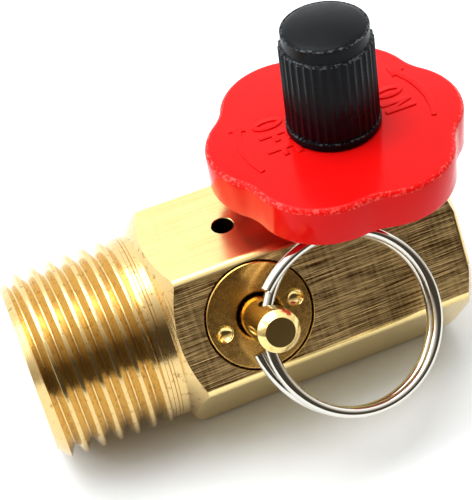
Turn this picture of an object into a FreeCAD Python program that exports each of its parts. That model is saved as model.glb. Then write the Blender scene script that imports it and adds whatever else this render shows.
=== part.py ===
"""Air tank manifold: one parametric assembly, every piece a body of its own.

All lengths are in millimetres. The row frame has its origin on the tank thread's
axis at the hand-tight plane. +X runs from the thread along the hexagonal bar, and
+Z is the axis of the shut-off knob. The relief valve stands on the front flat,
whose normal leans 60 degrees from +Z towards -Y.
"""
import FreeCAD
import Part
import math
import os
import Sketcher

V = FreeCAD.Vector

SIZES = [
    # hexagonal bar
    ("across_flats", 22.2),
    ("corner_round", 1.25),
    ("body_length", 48.3),
    ("datum_depth", 8.0),
    ("chamfer_slope", 0.82),
    ("chamfer_back", 0.5),
    ("end_face_drop", 0.3),
    # tank thread and neck
    ("thread_tip_radius", 9.45),
    ("thread_lead", 1.15),
    ("thread_radius", 10.67),
    ("thread_taper_drop", 0.2),
    ("thread_taper_length", 6.35),
    ("thread_length", 13.7),
    ("neck_radius", 10.5),
    ("neck_groove_width", 0.4),
    ("neck_groove_depth", 0.22),
    ("neck_length", 1.1),
    # air passages
    ("inlet_radius", 4.5),
    ("inlet_depth", 14.0),
    ("passage_radius", 2.25),
    ("passage_overrun", 1.65),
    ("port_radius", 5.56),
    ("port_depth", 5.6),
    ("port_flare", 0.8),
    ("port_drill_radius", 2.5),
    ("port_drill_length", 1.1),
    ("gauge_radius", 4.3),
    ("gauge_depth", 6.9),
    ("gauge_flare", 0.6),
    ("gauge_drill_radius", 1.5),
    ("gauge_drill_past", 1.5),
    # shut-off valve in the body
    ("knob_station", 38.25),
    ("seat_height", 1.2),
    ("seat_rim", 0.6),
    ("seat_rim_radius", 2.9),
    ("orifice_radius", 2.0),
    ("chamber_radius", 4.0),
    ("bonnet_bore_depth", 4.9),
    ("bonnet_end_gap", 0.4),
    # bonnet and spindle
    ("bonnet_wall", 1.5),
    ("bonnet_ledge", 1.0),
    ("bonnet_head", 2.3),
    ("bonnet_chamfer", 0.7),
    ("gasket_thickness", 0.5),
    ("gasket_width", 0.8),
    ("gland_depth", 3.7),
    ("gland_clearance", 0.05),
    ("run_clearance", 0.05),
    ("spindle_radius", 3.25),
    ("spindle_thread_radius", 3.95),
    ("spindle_thread_length", 3.5),
    ("lift_room", 1.1),
    ("spindle_bore", 1.2),
    ("gland_ring_section", 0.78),
    ("gland_groove_width", 1.2),
    ("gland_groove_depth", 0.75),
    ("gland_groove_drop", 2.0),
    # swivel seat disc
    ("washer_thickness", 1.4),
    ("washer_radius", 3.2),
    ("washer_hole", 0.9),
    ("disc_radius", 3.6),
    ("disc_skirt", 0.8),
    ("disc_web", 0.35),
    ("disc_hub", 2.2),
    ("nose_radius", 2.4),
    ("nose_end_gap", 0.05),
    ("nose_ring_section", 0.54),
    ("nose_groove_width", 0.7),
    ("nose_groove_up", 0.25),
    ("clip_wire", 0.4),
    ("clip_up", 1.45),
    ("clip_room", 0.1),
    # knob
    ("knob_gap", 0.5),
    ("knob_height", 4.6),
    ("knob_radius", 13.95),
    ("lobe_radius", 7.75),
    ("notch_radius", 6.0),
    ("knob_spin", -5.5),
    ("knob_wall", 1.7),
    ("knob_top", 1.9),
    ("knob_edge", 0.6),
    ("knob_boss", 5.0),
    ("rib_width", 1.2),
    ("rib_drop", 0.6),
    ("drive_flat", 2.85),
    ("boss_recess", 0.1),
    # tyre valve stem on the spindle
    ("stem_spigot", 2.2),
    ("stem_flange_radius", 4.7),
    ("stem_flange", 0.6),
    ("stem_thread_radius", 3.85),
    ("stem_height", 10.3),
    ("stem_tip_chamfer", 0.4),
    ("core_room", 2.0),
    ("core_thread_radius", 2.6),
    ("core_cone_depth", 5.9),
    ("core_cone_length", 0.8),
    # valve core
    ("core_top_gap", 0.6),
    ("core_thread_length", 3.5),
    ("core_tail", 4.2),
    ("core_tail_radius", 1.75),
    ("core_collar_length", 1.0),
    ("core_collar_gap", 0.7),
    ("core_neck_radius", 1.45),
    ("core_ledge", 0.6),
    ("core_ledge_hole", 0.7),
    ("core_chamber_radius", 1.15),
    ("core_bridge", 1.7),
    ("core_slot_width", 1.5),
    ("core_slot_floor", 0.95),
    ("pin_radius", 0.4),
    ("pin_guide_gap", 0.05),
    ("pin_top_gap", 0.4),
    ("pin_collar_radius", 1.05),
    ("pin_collar", 0.3),
    ("pin_collar_drop", 0.8),
    ("pin_foot_radius", 0.65),
    ("pin_foot", 0.3),
    ("cup_floor", 0.7),
    ("cup_lip", 0.4),
    ("core_washer_thickness", 0.6),
    ("core_washer_radius", 1.55),
    ("core_spring_wire", 0.26),
    ("core_spring_mean", 0.85),
    ("core_spring_pitch", 0.72),
    # cap
    ("cap_gap", 0.15),
    ("cap_band_radius", 5.03),
    ("cap_band", 0.85),
    ("cap_rib_radius", 4.93),
    ("cap_draft", 0.08),
    ("cap_neck_radius", 4.45),
    ("cap_neck", 1.5),
    ("cap_dome", 0.65),
    ("cap_top", 1.07),
    ("cap_clearance", 0.05),
    ("cap_seal_thickness", 0.7),
    # relief valve
    ("relief_station", 24.25),
    ("relief_orifice", 1.2),
    ("relief_past", 1.5),
    ("relief_floor", 3.5),
    ("relief_rim", 0.8),
    ("relief_rim_radius", 2.2),
    ("relief_pocket_radius", 5.2),
    ("relief_screw_radius", 5.9),
    ("relief_screw_depth", 4.8),
    ("relief_screw_gap", 0.2),
    ("relief_screw_edge", 0.22),
    ("relief_web", 1.4),
    ("relief_cup_radius", 4.3),
    ("spanner_radius", 0.95),
    ("spanner_depth", 1.1),
    ("spanner_circle", 4.18),
    ("spanner_angle", 7.8),
    ("stem_hole_chamfer", 0.2),
    ("pull_radius", 2.25),
    ("pull_length", 7.9),
    ("pull_edge", 0.7),
    ("pull_root", 0.9),
    ("cross_hole_radius", 1.3),
    ("cross_hole_out", 3.85),
    ("cross_hole_turn", -20.0),
    ("spigot_radius", 1.1),
    ("spigot_length", 1.3),
    ("seal_thickness", 1.2),
    ("seal_radius", 2.9),
    ("poppet_radius", 3.5),
    ("poppet_lip", 0.8),
    ("poppet_web", 1.0),
    ("poppet_boss", 0.7),
    ("poppet_boss_radius", 2.3),
    ("relief_spring_wire", 0.6),
    ("relief_spring_mean", 3.0),
    ("relief_spring_turns", 2.9),
    ("vent_radius", 1.2),
    ("vent_side", 0.6),
    ("vent_floor", 5.6),
    # pull ring
    ("ring_radius", 9.45),
    ("ring_wire", 1.2),
    ("ring_pitch", 1.26),
    ("ring_end_gap", 18.0),
    ("ring_flare", 0.9),
    ("ring_along", 8.51),
    ("ring_drop", 3.12),
    ("ring_out", 3.29),
    ("ring_tip_along", 0.126),
    ("ring_tip_up", 0.178),
]


class Size:
    """A number kept together with the expression that gives it."""

    def __init__(self, value, text):
        self.value = value
        self.text = text

    def __add__(self, other):
        return Size(self.value + number(other), "(%s + %s)" % (self.text, words(other)))

    def __radd__(self, other):
        return self + other

    def __sub__(self, other):
        return Size(self.value - number(other), "(%s - %s)" % (self.text, words(other)))

    def __rsub__(self, other):
        return Size(number(other) - self.value, "(%s - %s)" % (words(other), self.text))

    def __mul__(self, other):
        return Size(self.value * number(other), "(%s * %s)" % (self.text, words(other)))

    def __rmul__(self, other):
        return self * other

    def __truediv__(self, other):
        return Size(self.value / number(other), "(%s / %s)" % (self.text, words(other)))

    def __neg__(self):
        return Size(-self.value, "(-1 * %s)" % self.text)


def number(thing):
    return thing.value if isinstance(thing, Size) else float(thing)


def words(thing):
    return thing.text if isinstance(thing, Size) else "%.6f" % thing


class Table:
    """The sheet of driving sizes, read as attributes."""

    def __init__(self, doc, rows):
        sheet = doc.addObject("Spreadsheet::Sheet", "Dims")
        for row, (name, value) in enumerate(rows, 1):
            sheet.set("A%d" % row, name)
            sheet.set("B%d" % row, str(value))
            sheet.setAlias("B%d" % row, name)
            setattr(self, name, Size(value, "Dims.%s" % name))


doc = FreeCAD.newDocument("manifold")
D = Table(doc, SIZES)
doc.recompute()

# stations along the bar
end_x = -D.datum_depth
far_x = D.body_length - D.datum_depth
knob_x = D.knob_station - D.datum_depth
relief_x = D.relief_station - D.datum_depth
top = D.across_flats / 2
FRONT = 60.0
REAR = -60.0


def drive(thing, name, size):
    """Sets a property, and ties it to the sheet where the size comes from there."""
    setattr(thing, name, number(size))
    if isinstance(size, Size):
        thing.setExpression(name, size.text)


def place(thing, x=0.0, z=0.0, tilt=0.0, spin=0.0):
    """Puts a body's own frame in the row frame: turned by spin about its own Z,
    then tilted about X, then moved."""
    turn = FreeCAD.Rotation(V(1, 0, 0), tilt).multiply(FreeCAD.Rotation(V(0, 0, 1), spin))
    thing.Placement = FreeCAD.Placement(V(number(x), 0, number(z)), turn)
    for axis, size in (("x", x), ("z", z)):
        if isinstance(size, Size):
            thing.setExpression(".Placement.Base." + axis, size.text)


def new_body(label, x=0.0, z=0.0, tilt=0.0, spin=0.0):
    body = doc.addObject("PartDesign::Body", label)
    body.Label = label
    place(body, x, z, tilt, spin)
    return body


def new_sketch(body, name, plane, shift=(0.0, 0.0, 0.0), turn=0.0):
    """A sketch on one of the body's own planes, shifted and turned within it."""
    role = plane + "_Plane"
    base = [f for f in body.Origin.OriginFeatures if f.Role == role][0]
    sketch = body.newObject("Sketcher::SketchObject", name)
    sketch.AttachmentSupport = [(base, "")]
    sketch.MapMode = "FlatFace"
    spot = V(number(shift[0]), number(shift[1]), number(shift[2]))
    sketch.AttachmentOffset = FreeCAD.Placement(spot, FreeCAD.Rotation(V(0, 0, 1), turn))
    for axis, size in zip("xyz", shift):
        if isinstance(size, Size):
            sketch.setExpression(".AttachmentOffset.Base." + axis, size.text)
    return sketch


def tie(sketch, rules):
    """Adds constraints given as (kind, arguments, size) and ties their sizes."""
    first = sketch.ConstraintCount
    made = []
    for kind, where, size in rules:
        if size is None:
            made.append(Sketcher.Constraint(kind, *where))
        else:
            made.append(Sketcher.Constraint(kind, *where, number(size)))
    sketch.addConstraint(made)
    for index, (kind, where, size) in enumerate(rules):
        if isinstance(size, Size):
            sketch.setExpression("Constraints[%d]" % (first + index), size.text)


def at(geometry, end, x, y):
    """The two rules that hold one point of a sketch."""
    return [("DistanceX", (-1, 1, geometry, end), x), ("DistanceY", (-1, 1, geometry, end), y)]


def outline(sketch, points):
    """A closed outline of straight lines with every corner held."""
    first = sketch.GeometryCount
    spots = [V(number(x), number(y), 0) for x, y in points]
    count = len(points)
    lines = [Part.LineSegment(spots[i], spots[(i + 1) % count]) for i in range(count)]
    sketch.addGeometry(lines, False)
    rules = []
    for i in range(count):
        rules.append(("Coincident", (first + i, 2, first + (i + 1) % count, 1), None))
    for i, (x, y) in enumerate(points):
        rules.extend(at(first + i, 1, x, y))
    tie(sketch, rules)


def circle(sketch, radius, x=0.0, y=0.0):
    index = sketch.addGeometry(Part.Circle(V(number(x), number(y), 0), V(0, 0, 1), number(radius)), False)
    tie(sketch, at(index, 3, x, y) + [("Radius", (index,), radius)])


def feature(body, kind, name, sketch):
    """Adds a feature of a body from its sketch."""
    made = body.newObject("PartDesign::" + kind, name)
    made.Profile = (sketch, [""])
    return made


def settle(body, made, cuts, before):
    doc.recompute()
    after = body.Shape.Volume
    if (cuts and after > before - 1e-4) or (not cuts and after < before + 1e-4):
        raise RuntimeError("%s changed nothing" % made.Name)
    return made


def volume(body):
    return body.Shape.Volume if body.Tip else 0.0


def revolve(body, name, points, plane="XZ", shift=(0.0, 0.0, 0.0), turn=0.0, cuts=False, axis="V_Axis"):
    """Turns an outline about an axis of its sketch."""
    before = volume(body)
    sketch = new_sketch(body, name + "_profile", plane, shift, turn)
    outline(sketch, points)
    made = feature(body, "Groove" if cuts else "Revolution", name, sketch)
    made.ReferenceAxis = (sketch, [axis])
    made.Angle = 360.0
    return settle(body, made, cuts, before)


def torus(body, name, section, middle, height):
    """A ring of round section about Z."""
    sketch = new_sketch(body, name + "_section", "XZ")
    circle(sketch, section / 2, middle, height)
    made = feature(body, "Revolution", name, sketch)
    made.ReferenceAxis = (sketch, ["V_Axis"])
    made.Angle = 360.0
    return settle(body, made, False, 0.0)


def dome(body, name, radius, low, rise):
    """A shallow round dome on top of a turned piece."""
    high = low + rise
    bend = (number(radius) ** 2 + number(rise) ** 2) / (2 * number(rise))
    sweep = math.asin(number(radius) / bend)
    sketch = new_sketch(body, name + "_profile", "XZ")
    arc = Part.ArcOfCircle(Part.Circle(V(0, number(high) - bend, 0), V(0, 0, 1), bend),
                           math.pi / 2 - sweep, math.pi / 2)
    foot = Part.LineSegment(V(0, number(low), 0), V(number(radius), number(low), 0))
    spine = Part.LineSegment(V(0, number(high), 0), V(0, number(low), 0))
    sketch.addGeometry([foot, arc, spine], False)
    tie(sketch, [
        ("Coincident", (0, 2, 1, 1), None),
        ("Coincident", (1, 2, 2, 1), None),
        ("Coincident", (2, 2, 0, 1), None),
        ("PointOnObject", (1, 3, -2), None),
    ] + at(0, 1, 0.0, low) + at(0, 2, radius, low) + at(2, 1, 0.0, high))
    before = volume(body)
    made = feature(body, "Revolution", name, sketch)
    made.ReferenceAxis = (sketch, ["V_Axis"])
    made.Angle = 360.0
    return settle(body, made, False, before)


def extrude(body, name, sketch, length, cuts=False, back=False, both=False):
    """Pads or pockets a sketch by a length, backwards or both ways where asked."""
    before = volume(body)
    made = feature(body, "Pocket" if cuts else "Pad", name, sketch)
    made.Type = 0
    drive(made, "Length", length)
    if both:
        made.Midplane = True
    made.Reversed = back
    return settle(body, made, cuts, before)


def hexagon(sketch, flats):
    """A hexagon by the distance across its flats, with one flat facing up the sketch."""
    reach = flats / math.sqrt(3.0)
    corners = [math.pi / 3 * i for i in range(6)]
    outline(sketch, [(reach * math.cos(a), reach * math.sin(a)) for a in corners])


def double_d(sketch, radius, flat):
    """A circle with two flats, above and below."""
    reach = math.sqrt(number(radius) ** 2 - number(flat) ** 2)
    angle = math.atan2(number(flat), reach)
    start = sketch.GeometryCount
    right = Part.ArcOfCircle(Part.Circle(V(0, 0, 0), V(0, 0, 1), number(radius)), -angle, angle)
    left = Part.ArcOfCircle(Part.Circle(V(0, 0, 0), V(0, 0, 1), number(radius)),
                            math.pi - angle, math.pi + angle)
    high = Part.LineSegment(V(reach, number(flat), 0), V(-reach, number(flat), 0))
    low = Part.LineSegment(V(-reach, -number(flat), 0), V(reach, -number(flat), 0))
    sketch.addGeometry([right, high, left, low], False)
    tie(sketch, [
        ("Coincident", (start, 2, start + 1, 1), None),
        ("Coincident", (start + 1, 2, start + 2, 1), None),
        ("Coincident", (start + 2, 2, start + 3, 1), None),
        ("Coincident", (start + 3, 2, start, 1), None),
        ("Coincident", (start, 3, -1, 1), None),
        ("Coincident", (start + 2, 3, -1, 1), None),
        ("Horizontal", (start + 1,), None),
        ("Horizontal", (start + 3,), None),
        ("Radius", (start,), radius),
        ("DistanceY", (-1, 1, start + 1, 1), flat),
        ("DistanceY", (start + 3, 1, -1, 1), flat),
        ("Equal", (start, start + 2), None),
    ])


def lobed(sketch, outer, lobe, notch, count=6):
    """Broad round lobes joined by small hollow arcs, tangent all the way round."""
    step = 2 * math.pi / count
    reach = outer - lobe
    r_lobe = number(lobe)
    r_notch = number(notch)
    r_reach = number(reach)
    along = r_reach * math.cos(step / 2)
    side = r_reach * math.sin(step / 2)
    hollow = along + math.sqrt((r_lobe + r_notch) ** 2 - side ** 2)
    arcs = []
    for i in range(count):
        middle = step * i
        centre = V(r_reach * math.cos(middle), r_reach * math.sin(middle), 0)
        swing = abs(step / 2 + math.atan2(side, hollow - along))
        arcs.append(Part.ArcOfCircle(Part.Circle(centre, V(0, 0, 1), r_lobe), middle - swing, middle + swing))
        middle = step * (i + 0.5)
        centre = V(hollow * math.cos(middle), hollow * math.sin(middle), 0)
        swing = math.atan2(side, hollow - along)
        arcs.append(Part.ArcOfCircle(Part.Circle(centre, V(0, 0, 1), r_notch),
                                     middle + math.pi - swing, middle + math.pi + swing))
    start = sketch.GeometryCount
    sketch.addGeometry(arcs, False)
    rules = []
    for i in range(count):
        middle = step * i
        rules.extend(at(start + 2 * i, 3, reach * math.cos(middle), reach * math.sin(middle)))
        rules.append(("Radius", (start + 2 * i,), lobe))
        rules.append(("Radius", (start + 2 * i + 1,), notch))
        rules.append(("Tangent", (start + 2 * i, 2, start + 2 * i + 1, 2), None))
        rules.append(("Tangent", (start + 2 * i + 1, 1, start + (2 * i + 2) % (2 * count), 1), None))
    tie(sketch, rules)


def round_edges(body, name, base, radius, wanted, kind="Fillet"):
    """Rounds or chamfers the edges of a feature that the test picks out."""
    names = ["Edge%d" % (i + 1) for i, edge in enumerate(base.Shape.Edges) if wanted(edge)]
    made = body.newObject("PartDesign::" + kind, name)
    made.Base = (base, names)
    drive(made, "Radius" if kind == "Fillet" else "Size", radius)
    doc.recompute()
    return made


def around(body, name, original, count):
    """Copies a feature round the body's Z axis."""
    axis = [f for f in body.Origin.OriginFeatures if f.Role == "Z_Axis"][0]
    made = body.newObject("PartDesign::PolarPattern", name)
    made.Originals = [original]
    made.Axis = (axis, [""])
    made.Angle = 360.0
    made.Occurrences = count
    body.Tip = made
    doc.recompute()
    return made


def coil(body, name, wire, middle, low, pitch, height):
    """A round-wire helical spring about Z that starts at the height low."""
    sketch = new_sketch(body, name + "_section", "XZ")
    circle(sketch, wire / 2, middle, low)
    made = feature(body, "AdditiveHelix", name, sketch)
    made.ReferenceAxis = (sketch, ["V_Axis"])
    made.Mode = 0
    drive(made, "Pitch", pitch)
    drive(made, "Height", height)
    return settle(body, made, False, 0.0)


# heights in the shut-off valve
step_z = top - D.bonnet_bore_depth
bonnet_low = step_z + D.bonnet_end_gap
gasket_top = top + D.gasket_thickness
bonnet_top = gasket_top + D.bonnet_head
gland_low = bonnet_top - D.gland_depth
knob_low = bonnet_top + D.knob_gap
knob_top = knob_low + D.knob_height
flange_low = knob_top - D.stem_flange
drive_low = knob_low + D.boss_recess
stem_top = knob_top + D.stem_height

# heights of the swivel disc
disc_low = D.seat_height + D.washer_thickness - D.disc_skirt
web_low = D.seat_height + D.washer_thickness
web_top = web_low + D.disc_web
hub_top = web_top + D.disc_hub
nose_low = web_top + D.nose_end_gap
clip_z = web_top + D.clip_up
socket_radius = D.nose_radius + D.run_clearance
thread_bore = D.spindle_thread_radius + D.run_clearance
bonnet_radius = thread_bore + D.bonnet_wall
bonnet_flats = (bonnet_radius + D.bonnet_ledge) * 2
gasket_radius = bonnet_radius + D.gasket_width
gland_bore = D.spindle_radius + D.gland_clearance


def make_body():
    """The brass bar with its tank thread, passages, ports and valve pockets."""
    body = new_body("body")
    hex_x = end_x + D.thread_length + D.neck_length
    sketch = new_sketch(body, "bar_section", "YZ", (0.0, 0.0, hex_x))
    hexagon(sketch, D.across_flats)
    bar = extrude(body, "bar", sketch, far_x - hex_x)
    long_edge = number(far_x - hex_x) - 0.01
    rounded = round_edges(body, "bar_corners", bar, D.corner_round,
                          lambda e: abs(e.Length) > long_edge and abs(e.tangentAt(0.0).x) > 0.99)
    body.Tip = rounded
    reach = D.across_flats * 0.7
    deep = (reach - D.neck_radius) * D.chamfer_slope
    revolve(body, "thread_end_chamfer", [
        (hex_x - 1, D.neck_radius), (hex_x, D.neck_radius), (hex_x + deep, reach), (hex_x - 1, reach)],
        cuts=True, axis="H_Axis")
    edge = top - D.end_face_drop
    deep = (reach - edge) * D.chamfer_slope
    revolve(body, "far_end_chamfer", [
        (far_x, edge), (far_x + 1, edge), (far_x + 1, reach), (far_x - deep, reach)],
        cuts=True, axis="H_Axis")
    groove_x = end_x + D.thread_length
    groove_radius = D.neck_radius - D.neck_groove_depth
    revolve(body, "threaded_shank", [
        (end_x, 0.0), (end_x, D.thread_tip_radius),
        (end_x + D.thread_lead, D.thread_radius - D.thread_taper_drop),
        (end_x + D.thread_lead + D.thread_taper_length, D.thread_radius),
        (groove_x - D.neck_groove_width, D.thread_radius),
        (groove_x - D.neck_groove_width, groove_radius), (groove_x, groove_radius),
        (groove_x, D.neck_radius), (hex_x + D.chamfer_back, D.neck_radius), (hex_x + D.chamfer_back, 0.0)],
        axis="H_Axis")
    revolve(body, "inlet_bore", [
        (end_x - 1, 0.0), (end_x - 1, D.inlet_radius + 1.6), (end_x + 0.6, D.inlet_radius),
        (end_x + D.inlet_depth, D.inlet_radius),
        (end_x + D.inlet_depth + D.inlet_radius * 0.5, 0.0)], cuts=True, axis="H_Axis")
    passage_x = end_x + D.inlet_depth - 1
    sketch = new_sketch(body, "passage_section", "YZ", (0.0, 0.0, passage_x))
    circle(sketch, D.passage_radius, 0.0, -D.passage_radius)
    extrude(body, "passage", sketch, knob_x + D.passage_overrun - passage_x, cuts=True, back=True)
    revolve(body, "outlet_port", [
        (far_x + 1, 0.0), (far_x + 1, D.port_radius + D.port_flare + 1),
        (far_x, D.port_radius + D.port_flare), (far_x - D.port_flare, D.port_radius),
        (far_x - D.port_depth, D.port_radius), (far_x - D.port_depth, D.port_drill_radius),
        (far_x - D.port_depth - D.port_drill_length, D.port_drill_radius),
        (far_x - D.port_depth - D.port_drill_length, 0.0)], cuts=True, axis="H_Axis")
    floor = D.seat_height - D.seat_rim
    revolve(body, "valve_chamber", [
        (0.0, top + 1), (bonnet_radius + 1.4, top + 1), (bonnet_radius, top - 0.4),
        (bonnet_radius, step_z), (D.chamber_radius, step_z), (D.chamber_radius, floor),
        (D.seat_rim_radius, floor), (D.seat_rim_radius - 0.2, D.seat_height),
        (D.orifice_radius, D.seat_height), (D.orifice_radius, -D.passage_radius),
        (0.0, -D.passage_radius)], shift=(knob_x, 0.0, 0.0), cuts=True)
    revolve(body, "relief_pocket", [
        (0.0, top + 1), (D.relief_screw_radius + 1 + D.relief_screw_edge, top + 1),
        (D.relief_screw_radius + D.relief_screw_edge, top),
        (D.relief_screw_radius, top - D.relief_screw_edge),
        (D.relief_screw_radius, top - D.relief_screw_depth - D.relief_screw_gap),
        (D.relief_pocket_radius, top - D.relief_screw_depth - D.relief_screw_gap),
        (D.relief_pocket_radius, D.relief_floor), (D.relief_rim_radius + 0.3, D.relief_floor),
        (D.relief_rim_radius, D.relief_floor + D.relief_rim),
        (D.relief_orifice, D.relief_floor + D.relief_rim), (D.relief_orifice, -D.relief_past),
        (0.0, -D.relief_past)], plane="YZ", shift=(0.0, 0.0, relief_x), turn=FRONT, cuts=True)
    revolve(body, "gauge_port", [
        (0.0, top + 1), (D.gauge_radius + D.gauge_flare + 1, top + 1),
        (D.gauge_radius + D.gauge_flare, top), (D.gauge_radius, top - D.gauge_flare),
        (D.gauge_radius, top - D.gauge_depth), (D.gauge_drill_radius, top - D.gauge_depth - 0.9),
        (D.gauge_drill_radius, -D.gauge_drill_past), (0.0, -D.gauge_drill_past)],
        plane="YZ", shift=(0.0, 0.0, relief_x), turn=REAR, cuts=True)
    sketch = new_sketch(body, "vent_section", "XY", (0.0, 0.0, top))
    circle(sketch, D.vent_radius, relief_x, -D.vent_side)
    extrude(body, "vent", sketch, top - D.vent_floor, cuts=True)
    return body


def make_bonnet():
    """The hexagonal gland nut that holds the spindle, and its gasket."""
    body = new_body("bonnet", x=knob_x)
    sketch = new_sketch(body, "head_section", "XY", (0.0, 0.0, gasket_top))
    hexagon(sketch, bonnet_flats)
    extrude(body, "head", sketch, D.bonnet_head)
    reach = bonnet_flats * 0.7
    rise = (reach - bonnet_flats / 2) * 0.6
    revolve(body, "head_chamfer", [
        (bonnet_flats / 2 - D.bonnet_chamfer * 0.4, bonnet_top + 0.1), (reach, bonnet_top + 0.1),
        (reach, bonnet_top - rise - D.bonnet_chamfer * 0.25),
        (bonnet_flats / 2 - D.bonnet_chamfer * 0.4, bonnet_top)], cuts=True)
    revolve(body, "shank", [
        (0.0, bonnet_low), (bonnet_radius - 0.4, bonnet_low), (bonnet_radius, bonnet_low + 0.4),
        (bonnet_radius, gasket_top + 0.2), (0.0, gasket_top + 0.2)])
    revolve(body, "spindle_bore", [
        (0.0, bonnet_low - 1), (thread_bore + 1, bonnet_low - 1), (thread_bore + 0.3, bonnet_low),
        (thread_bore, bonnet_low + 0.3), (thread_bore, gland_low), (gland_bore, gland_low + 0.3),
        (gland_bore, bonnet_top - 0.3), (gland_bore + 1.3, bonnet_top + 1), (0.0, bonnet_top + 1)],
        cuts=True)
    seal = new_body("bonnet_gasket", x=knob_x)
    revolve(seal, "gasket", [
        (bonnet_radius, top), (gasket_radius, top), (gasket_radius, gasket_top),
        (bonnet_radius, gasket_top)])
    return [body, seal]


def make_spindle():
    """The hollow spindle, its gland ring, and the swivel disc on its nose."""
    body = new_body("spindle", x=knob_x, spin=number(D.knob_spin))
    thread_top = gland_low - D.lift_room
    thread_low = thread_top - D.spindle_thread_length
    groove_top = bonnet_top - D.gland_groove_drop + D.gland_groove_width / 2
    groove_low = groove_top - D.gland_groove_width
    groove_radius = D.spindle_radius - D.gland_groove_depth
    nose_groove = nose_low + D.nose_groove_up
    nose_groove_top = nose_groove + D.nose_groove_width
    nose_inner = socket_radius - 0.01 - D.nose_ring_section
    clip_inner = D.nose_radius - D.clip_wire * 0.6
    revolve(body, "turned_spindle", [
        (0.0, nose_low), (D.nose_radius - 0.15, nose_low), (D.nose_radius, nose_low + 0.15),
        (D.nose_radius, nose_groove), (nose_inner, nose_groove), (nose_inner, nose_groove_top),
        (D.nose_radius, nose_groove_top), (D.nose_radius, clip_z - D.clip_wire * 0.6),
        (clip_inner, clip_z - D.clip_wire * 0.6), (clip_inner, clip_z + D.clip_wire * 0.6),
        (D.nose_radius, clip_z + D.clip_wire * 0.6), (D.nose_radius, hub_top + 0.1),
        (D.spindle_thread_radius - 0.5, hub_top + 0.1), (D.spindle_thread_radius, thread_low + 0.5),
        (D.spindle_thread_radius, thread_top - 0.4), (D.spindle_radius, thread_top),
        (D.spindle_radius, groove_low), (groove_radius, groove_low), (groove_radius, groove_top),
        (D.spindle_radius, groove_top), (D.spindle_radius, drive_low), (0.0, drive_low)])
    sketch = new_sketch(body, "drive_section", "XY", (0.0, 0.0, drive_low - 0.3))
    double_d(sketch, D.spindle_radius, D.drive_flat)
    extrude(body, "drive", sketch, flange_low - drive_low + 0.3)
    spigot_low = drive_low - 0.2
    revolve(body, "through_bore", [
        (0.0, nose_low - 1), (D.spindle_bore, nose_low - 1), (D.spindle_bore, spigot_low - 0.4),
        (D.stem_spigot, spigot_low), (D.stem_spigot, flange_low + 1), (0.0, flange_low + 1)], cuts=True)
    ring = new_body("gland_o_ring", x=knob_x)
    outer = gland_bore - 0.02
    torus(ring, "gland_ring", D.gland_ring_section, outer - D.gland_ring_section / 2,
          (groove_low + groove_top) / 2)
    nose_ring = new_body("nose_o_ring", x=knob_x)
    torus(nose_ring, "nose_seal", D.nose_ring_section, socket_radius - 0.01 - D.nose_ring_section / 2,
          (nose_groove + nose_groove_top) / 2)
    clip = new_body("disc_clip", x=knob_x)
    torus(clip, "clip", D.clip_wire, D.nose_radius, clip_z)
    disc = new_body("seat_disc", x=knob_x)
    pocket = D.nose_radius + D.clip_wire / 2 + D.clip_room
    revolve(disc, "turned_disc", [
        (D.washer_hole, web_low), (D.washer_radius, web_low), (D.washer_radius, disc_low),
        (D.disc_radius, disc_low), (D.disc_radius, hub_top), (socket_radius, hub_top),
        (socket_radius, clip_z + D.clip_wire / 2 + D.clip_room),
        (pocket, clip_z + D.clip_wire / 2 + D.clip_room),
        (pocket, clip_z - D.clip_wire / 2 - D.clip_room),
        (socket_radius, clip_z - D.clip_wire / 2 - D.clip_room),
        (socket_radius, web_top), (D.washer_hole, web_top)])
    washer = new_body("seat_washer", x=knob_x)
    revolve(washer, "washer", [
        (D.washer_hole, D.seat_height), (D.washer_radius, D.seat_height),
        (D.washer_radius, web_low), (D.washer_hole, web_low)])
    return [body, ring, nose_ring, clip, disc, washer]


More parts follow.
